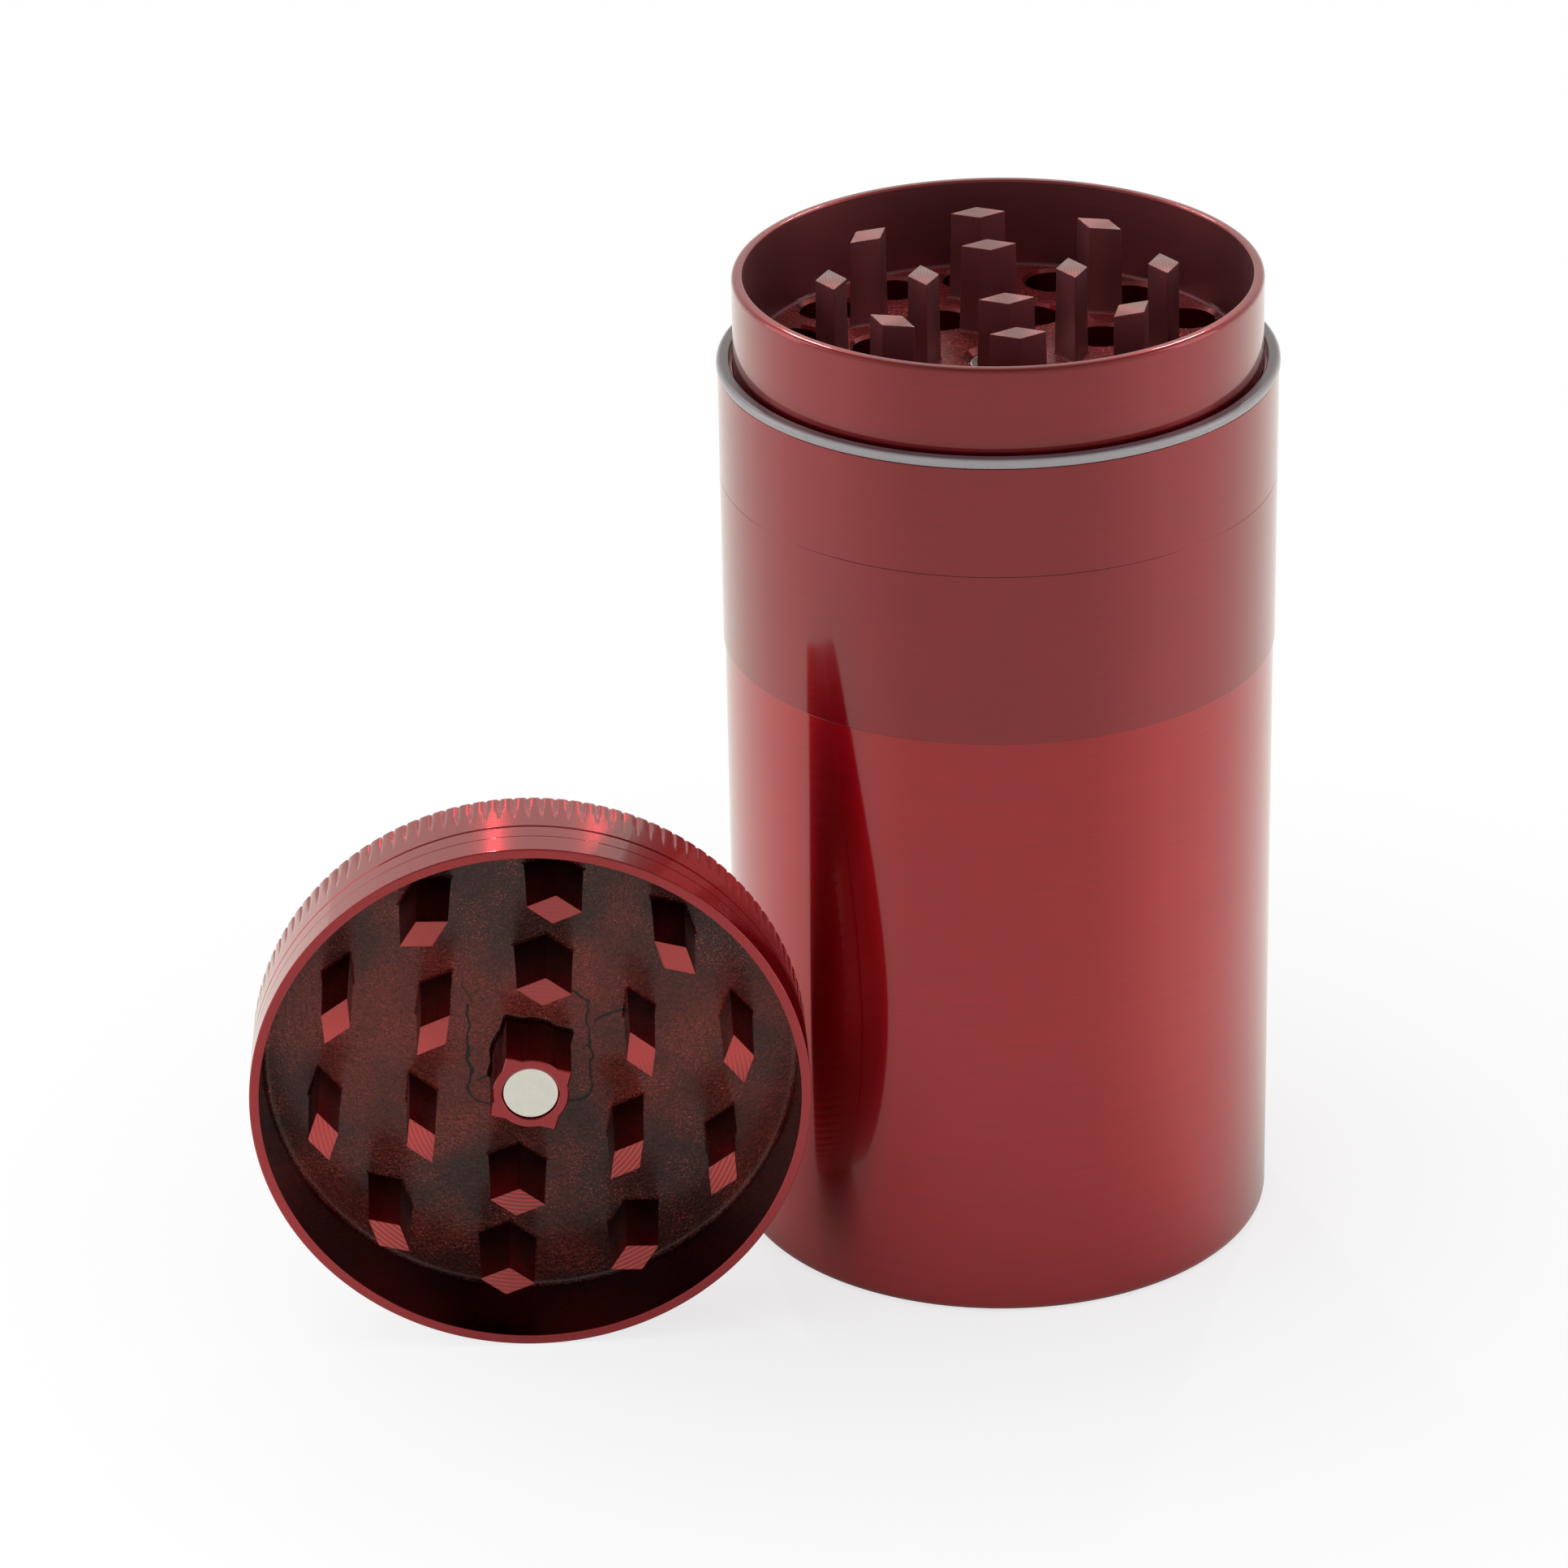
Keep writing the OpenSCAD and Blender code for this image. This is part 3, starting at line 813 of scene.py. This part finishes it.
# ---------------------------------------------------------------------------
# Sifter: ring, screen, snap ring
# ---------------------------------------------------------------------------
def make_sifter_ring():
    low = SEAM_JAR - SPIGOT_L
    socket = SEAM_SIFTER - SOCKET_L
    root = SPIGOT_R - THREAD_H
    groove_low, groove_high = SNAP_GROOVE
    shell = turned("sifter_shell", [
        (SEAT_R, low, 0), (root, low, 0.25), (root, SEAM_JAR, 0), (BODY_R, SEAM_JAR, SEAM_EASE),
        (BODY_R, SEAM_SIFTER, SEAM_EASE), (SOCKET_R, SEAM_SIFTER, MOUTH_EASE),
        (SOCKET_R, socket, 0), (BORE_R, socket, 0.2), (BORE_R, SEAT_Z, 0.1), (SEAT_R, SEAT_Z, 0),
        (SEAT_R, groove_high, 0), (SNAP_GROOVE_R, groove_high, 0),
        (SNAP_GROOVE_R, groove_low, 0), (SEAT_R, groove_low, 0),
    ], upper_red)
    return joined("sifter_ring_turned", [
        shell, spigot_thread("spigot_thread", SEAM_JAR, upper_red),
        socket_thread("socket_thread", SEAM_SIFTER, upper_red)])


def square_section(inner, outer, low, high, ease):
    return [(inner, low, ease), (outer, low, ease), (outer, high, ease), (inner, high, ease)]


def make_screen():
    cloth = weave.make("sifter_cloth", Radius=SCREEN_R * MM, Pitch=WIRE_PITCH * MM,
                       Wire=WIRE * MM, Rows=WIRE_ROWS, Points=WIRE_POINTS,
                       Height=SCREEN_Z * MM, Finish=wire_steel)
    finished(cloth, 60)
    edge = turned("sifter_edge", square_section(
        *SCREEN_EDGE, SCREEN_Z - SCREEN_EDGE_HALF, SCREEN_Z + SCREEN_EDGE_HALF, 0.1),
        wire_steel, steps=2)
    return joined("sifter_screen_woven", [cloth, edge])


def make_snap_ring():
    """An open spring ring with rounded section and ends."""
    section = eased(square_section(*SNAP_RADII, *SNAP_HEIGHTS, 0.15), steps=3)
    sweep = TURN - 2 * SNAP_HALF_GAP
    angles = [SNAP_HALF_GAP + sweep * i / SNAP_STEPS for i in range(SNAP_STEPS + 1)]
    return piece("snap_ring_sprung", lofted([[polar(r, a, z) for r, z in section]
                                             for a in angles]), spring_steel)


# ---------------------------------------------------------------------------
# Teeth and holes
# ---------------------------------------------------------------------------
def tooth_blank(name, height):
    """A diamond tooth with a little draft and a flare at its root, standing on z = 0."""
    # heights, and how far each side stands out from the tip's diamond there
    levels = [(-SUNK, 0.26), (0.0, 0.26), (0.1, 0.18), (0.3, 0.12), (height / 2, 0.05),
              (height - 0.04, 0.0), (height, -0.04)]
    corners = [(TOOTH_W / 2, 0), (0, TOOTH_L / 2), (-TOOTH_W / 2, 0), (0, -TOOTH_L / 2)]
    to_side = TOOTH_W * TOOTH_L / hypot(TOOTH_W, TOOTH_L) / 2
    rows = []
    for z, grow in levels:
        k = 1 + grow / to_side
        row = []
        for i, (x, y) in enumerate(corners):
            for ax, ay in (corners[i - 1], corners[(i + 1) % 4]):
                d = hypot(ax - x, ay - y)
                row.append(((x + (ax - x) * TOOTH_NOSE / d) * k,
                            (y + (ay - y) * TOOTH_NOSE / d) * k, z))
        rows.append(row)
    return piece(name, lofted(rows))


def teeth(name, rings, first, height, floor, material):
    tooth = tooth_blank("tooth", height)
    made = [ring.make(name + "_ring", Piece=tooth, Count=n, Radius=r * MM, First=first,
                      Height=floor * MM, Finish=material) for n, r in rings]
    drop(tooth)
    return joined(name, made)


def holes():
    """Drills for the chamber's floor, with shoulders that chamfer the mouths."""
    wide = HOLE_R + HOLE_CHAMFER
    drill = turned("drill", [(0, -4, 0), (HOLE_R, -4, 0), (HOLE_R, -HOLE_CHAMFER, 0),
                             (wide, 0, 0), (wide + 0.4, 0.4, 0), (0, 0.4, 0)], sides=48)
    made = [ring.make("drill_ring", Piece=drill, Count=n, Radius=r * MM,
                      First=CHAMBER_FIRST + turn, Height=FLOOR * MM)
            for n, r, turn in HOLE_RINGS]
    drop(drill)
    return joined("drills", made)


def by_face(obj, materials, choose):
    """Gives each face the material that choose(centre in mm, normal) returns."""
    mesh = obj.data
    mesh.materials.clear()
    for material in materials:
        mesh.materials.append(material)
    for face in mesh.polygons:
        face.material_index = materials.index(choose(face.center / MM, face.normal))
    return finished(obj)


def near(a, b):
    return abs(a - b) < 0.1


def upward(normal):
    return normal.z > 0.6


# ---------------------------------------------------------------------------
# Grinding chamber
# ---------------------------------------------------------------------------
def make_chamber():
    low = SEAM_SIFTER - SPIGOT_L
    root = SPIGOT_R - THREAD_H
    hub_r = POCKET_R + HUB_WALL
    body = turned("chamber_shell", [
        (0, HUB, 0), (hub_r, HUB, 0.3), (hub_r, UNDER, 0.3), (WELL_R, UNDER, 0.5),
        (BORE_R, SEAM_SIFTER, 0), (BORE_R, low, 0.2), (root, low, 0.25), (root, SEAM_SIFTER, 0),
        (BODY_R, SEAM_SIFTER, SEAM_EASE), (BODY_R, LEDGE, SEAM_EASE), (NECK_R, LEDGE, 0.12),
        (NECK_R, RIM, 0.42), (NECK_BORE_R, RIM, 0.18), (NECK_BORE_R, FLOOR, 0.35),
        (POCKET_R + MAGNET_SINK, FLOOR, 0), (POCKET_R, CHAMBER_MAGNET_Z, 0),
        (POCKET_R, CHAMBER_MAGNET_Z - MAGNET_T, 0), (0, CHAMBER_MAGNET_Z - MAGNET_T, 0),
    ])
    cut(body, holes(), "DIFFERENCE")
    cut(body, teeth("chamber_teeth", CHAMBER_RINGS, CHAMBER_FIRST, CHAMBER_TIP - FLOOR, FLOOR,
                    upper_red), "UNION")

    def choose(at, normal):
        outside = hypot(at.x, at.y) > NECK_BORE_R + 0.1
        chamfer = at.z < FLOOR - 0.02 and normal.z > 0.3
        if outside or chamfer or at.z < FLOOR - HOLE_CHAMFER:
            return upper_red
        if upward(normal) and near(at.z, CHAMBER_TIP):
            return chamber_tips
        if upward(normal) and at.z < FLOOR + 0.06:
            return chamber_floor
        inside = at.z < RIM - 0.3 or CHAMBER_TIP - 1 < at.z < CHAMBER_TIP
        return bore_red if inside else upper_red

    by_face(body, (upper_red, chamber_tips, chamber_floor, bore_red), choose)
    return joined("grinding_chamber_milled", [
        body, spigot_thread("chamber_thread", SEAM_SIFTER, upper_red)])


def make_magnet(name, place):
    """A magnet whose face lies at its place's z = 0."""
    return turned(name, [(0, -MAGNET_T, 0), (MAGNET_R, -MAGNET_T, 0.12), (MAGNET_R, 0, 0.12),
                         (0, 0, 0)], nickel, sides=96, place=place)


# ---------------------------------------------------------------------------
# Washer
# ---------------------------------------------------------------------------
def make_washer():
    low, top = LEDGE + 0.01, LEDGE + WASHER_T
    return turned("friction_washer_nylon", [
        (WASHER_BORE_R, low, 0.08), (WASHER_R, low, 0.25), (WASHER_R, top, 0.4),
        (WASHER_BORE_R, top, 0.15)], nylon, steps=6)


# ---------------------------------------------------------------------------
# Lid, in its own frame: rim at z = 0 and mouth up, then stood on its side
# ---------------------------------------------------------------------------
def knurl_angles():
    """Angles of the blank's sides: seven across each flute, and one on the land between."""
    half = FLUTE_W / 2 / BODY_R
    pitch = TURN / FLUTES
    marks = [half * k for k in (-1, -0.66, -0.33, 0, 0.33, 0.66, 1)] + [pitch / 2]
    return [pitch * i + m for i in range(FLUTES) for m in marks]


def lid_outline():
    land = BODY_R - KNURL_STEP
    side = [(BODY_R, 0, 0.14)]
    for at, width, depth in GROOVES:
        side += [(BODY_R, -at + width / 2, 0.04), (BODY_R - depth, -at, 0.03),
                 (BODY_R, -at - width / 2, 0.04)]
    side += [(BODY_R, KNURL_TOP, 0), (land, KNURL_TOP - 0.02, 0)]
    side += [(land, KNURL_TOP - step, 0) for step in KNURL_RINGS]
    side += [(land, -LID_H, 0.4), (0, -LID_H, 0)]
    inside = [(0, -LID_DEPTH, 0), (SKIRT_R, -LID_DEPTH, 0.4), (SKIRT_R, 0, 0.1)]
    return eased((inside + side)[::-1])


def post_shape():
    """The square post with a round middle, a flare at its root and a pocket for the magnet."""
    tip = -POST_DROP
    base = -LID_DEPTH

    def outer(grow, z):
        def radius(a):
            square = (POST_W / 2 + grow) / max(abs(cos(a)), abs(sin(a)))
            return max(min(square, POST_W / sqrt(2) - POST_CORNER + grow), POST_ROUND_R + grow)
        return [polar(radius(a), a, z) for a in evenly(POST_SIDES)]

    def pocket(grow, z):
        return [polar(POCKET_R + grow, a, z) for a in evenly(POST_SIDES)]

    swings = [step * pi / 10 for step in range(6)]
    return lofted(
        [outer(POST_FLARE, base - SUNK)]
        + [outer(POST_FLARE * (1 - sin(s)), base + POST_FLARE * (1 - cos(s))) for s in swings]
        + [outer(0.0, tip - 0.35), outer(0.0, tip - POST_BEVEL), outer(-POST_BEVEL, tip),
           pocket(POCKET_BEVEL, tip), pocket(0.0, tip - POCKET_BEVEL),
           pocket(0.0, LID_MAGNET_Z - MAGNET_T)])


def make_lid():
    blank = piece("lid_shell", revolved(lid_outline(), knurl_angles()))
    body = flutes.make("lid_milled", blank=blank, Count=FLUTES, Radius=BODY_R * MM,
                       Width=FLUTE_W * MM, Depth=FLUTE_DEPTH * MM, Start=KNURL_TOP * MM,
                       Runout=FLUTE_RUNOUT * MM, Finish=lid_red)
    cut(body, teeth("lid_teeth", LID_RINGS, LID_FIRST, LID_DEPTH + LID_TIP, -LID_DEPTH,
                    lid_red), "UNION")
    cut(body, piece("post", post_shape(), place=Matrix.Rotation(POST_FIRST, 4, "Z")), "UNION")

    def choose(at, normal):
        far = hypot(at.x, at.y)
        up = at.z + LID_DEPTH
        if far > SKIRT_R + 0.05 or up < -0.1:
            return lid_red
        if upward(normal) and near(at.z, -POST_DROP):
            return lid_red
        if upward(normal) and near(at.z, LID_TIP):
            return lid_tips
        # the post's flare gets painted shade
        if far < POST_REACH and 0.01 < up < POST_FLARE + 0.1:
            return post_root_shade
        if normal.z > 0.15 and up < 0.5:
            return lid_floor
        # the skirt's inner wall gets the painted shade finish
        if near(far, SKIRT_R) and at.z < -0.15:
            return lid_wall_shaded
        # the teeth's flanks, whose finish carries painted shade towards the floor
        return lid_sides if far < SKIRT_R - 0.1 and at.z < LID_TIP else lid_red

    by_face(body, (lid_red, lid_tips, lid_floor, lid_sides, post_root_shade, lid_wall_shaded), choose)
    body.data.transform(LID_STAND)
    return body


# ---------------------------------------------------------------------------
# Put together
# ---------------------------------------------------------------------------
def raised(height):
    return Matrix.Translation((0, 0, height * MM))


def fit(obj, body, slot, *nodes):
    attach(obj, body)
    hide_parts(*nodes)


fit(make_jar(), "jar", "red_anodised", "jar")
fit(make_sifter_ring(), "sifter", "red_anodised", "sifter_ring")
fit(make_screen(), "screen", "steel_mesh", "sifter_screen")
fit(make_snap_ring(), "sifter", "spring_steel", "snap_ring")
fit(make_washer(), "washer", "nylon", "friction_washer")
fit(make_chamber(), "chamber", "red_anodised", "grinding_chamber")
fit(make_magnet("chamber_magnet_disc", raised(CHAMBER_MAGNET_Z)),
    "chamber", "nickel_plate", "chamber_magnet")
fit(make_lid(), "lid", "red_anodised", "lid")
fit(make_magnet("lid_magnet_disc", LID_STAND @ raised(LID_MAGNET_Z)),
    "lid", "nickel_plate", "lid_magnet")


# ---------------------------------------------------------------------------
# Studio, in metres
# ---------------------------------------------------------------------------
CAMERA_AT = (0, -0.52817, 0.29699)
CAMERA_YAW, CAMERA_PITCH, CAMERA_ROLL = -0.03749, 0.45021, -0.02006
LENS = 146.53
FLOOR_SIZE = 3.0
FLOOR_DROP = 0.00005
GLOSS_TINT = colour((1.0, 0.97, 0.90))


def make_camera():
    yaw, pitch, roll = CAMERA_YAW, CAMERA_PITCH, CAMERA_ROLL
    ahead = Vector((sin(yaw) * cos(pitch), cos(yaw) * cos(pitch), -sin(pitch)))
    level = Vector((cos(yaw), -sin(yaw), 0))
    upright = level.cross(ahead)
    right = cos(roll) * level + sin(roll) * upright
    up = -sin(roll) * level + cos(roll) * upright
    data = bpy.data.cameras.new("camera")
    data.sensor_width = 36.0
    data.lens = LENS
    data.clip_start, data.clip_end = 0.05, 20.0
    camera = linked("camera", data)
    turn = Matrix((right, up, -ahead)).transposed().to_4x4()
    camera.matrix_world = Matrix.Translation(CAMERA_AT) @ turn
    bpy.context.scene.camera = camera


def area_light(name, at, towards, width, height, radiance, mirrored=True):
    """A lamp of that radiance that the camera doesn't see, and metal only where mirrored."""
    data = bpy.data.lights.new(name, "AREA")
    data.shape = "RECTANGLE"
    data.size, data.size_y = width, height
    data.energy = radiance * pi * width * height
    lamp = linked(name, data)
    at, towards = Vector(at), Vector(towards)
    turn = (at - towards).to_track_quat("Z", "Y").to_matrix().to_4x4()
    lamp.matrix_world = Matrix.Translation(at) @ turn
    lamp.visible_camera = False
    lamp.visible_glossy = mirrored


def brightness_round(t, x, y):
    """How bright the studio looks in a reflection: dim in front, brighter at the sides and
    behind. x and y are a place or a way seen from the object."""
    front = t.over(t.times(y, -1.0), t.math("MAXIMUM", t.length(x, y), 1e-6))
    side = t.spread(front, 0.84, 0.40, 0.0, 1.0)
    back = t.spread(front, -0.2, -0.9, 0.0, 1.0)
    return t.plus(0.665, t.plus(t.times(side, 0.26), t.times(back, 0.05)))


def light_rays(t):
    """1 on the camera's own rays, and 1 on rays that a surface has thrown back or let through."""
    rays = t.outputs("ShaderNodeLightPath")
    return rays["Is Camera Ray"], t.math("MAXIMUM", rays["Is Glossy Ray"],
                                         rays["Is Transmission Ray"])


def make_world():
    """Even light; in reflections, as brightness_round says, and dimmer overhead."""
    world = bpy.data.worlds.new("studio")
    bpy.context.scene.world = world
    world.use_nodes = True
    t = Tree(world.node_tree)
    t.nodes.clear()
    camera_ray, mirrored = light_rays(t)
    x, y, z = t.split(t.node("ShaderNodeTexCoord", out="Generated"))
    level = t.times(brightness_round(t, x, y), t.spread(z, 0.6, 0.85, 0.74, 0.34))
    gloss = t.node("ShaderNodeBackground", ("Color", GLOSS_TINT), ("Strength", level))
    fill = t.node("ShaderNodeBackground", ("Strength", 0.9))
    shown = t.node("ShaderNodeBackground", ("Strength", 1.0))
    both = t.either(camera_ray, t.either(mirrored, fill, gloss), shown)
    t.outputs("ShaderNodeOutputWorld", ("Surface", both))


def make_floor():
    """A white table that keeps the object's soft shadow and fades to plain white further out.
    In reflections it is as bright as the studio round it, with painted shade that darkens it
    close to the object."""
    shape = bmesh.new()
    bmesh.ops.create_grid(shape, x_segments=2, y_segments=2, size=FLOOR_SIZE)
    bmesh.ops.translate(shape, verts=shape.verts, vec=(0, 0, -FLOOR_DROP))
    f = Finish("white_table", Roughness=0.9)
    f.set("Base Color", colour((0.88, 0.88, 0.88)))
    x, y, _ = f.split(f.place)
    camera_ray, mirrored = light_rays(f)
    white = f.node("ShaderNodeEmission", ("Color", colour((1, 1, 1))), ("Strength", 1.0))
    plain = f.times(camera_ray, f.spread(f.length(x, y), 0.03, 0.10, 0.70, 1.0))
    table = f.either(plain, f.shader.outputs[0], white)
    # painted shade in the table's reflections, darker close to the object
    painted_contact_shade = f.node("ShaderNodeAmbientOcclusion", ("Distance", 0.05), out="AO", samples=6)
    level = f.times(brightness_round(f, x, y), painted_contact_shade)
    glow = f.node("ShaderNodeEmission", ("Color", GLOSS_TINT), ("Strength", level))
    f.feed(f.nodes["Material Output"].inputs["Surface"], f.either(mirrored, table, glow))
    floor = piece("table", shape, f.material)


make_camera()
make_world()
make_floor()
area_light("overhead", (-0.1, -0.25, 0.8), towards=(0, 0, 0.03), width=0.5, height=0.5,
           radiance=0.9, mirrored=False)
for name, at in (("side_left", (-0.75, 0.15, 0.3)), ("side_right", (0.75, 0.0, 0.3))):
    area_light(name, at, towards=(0, 0, 0.05), width=0.35, height=0.7, radiance=0.9)
# two narrow lamps behind the lid that glint on its skirt
for across in (-0.173, 0.236):
    area_light("skirt_lamp", LID_CENTRE + 0.95 * Vector((across, 0.70, 0.66)),
               towards=LID_CENTRE, width=0.022, height=0.11, radiance=95.0)

bpy.context.scene.view_settings.view_transform = "Standard"
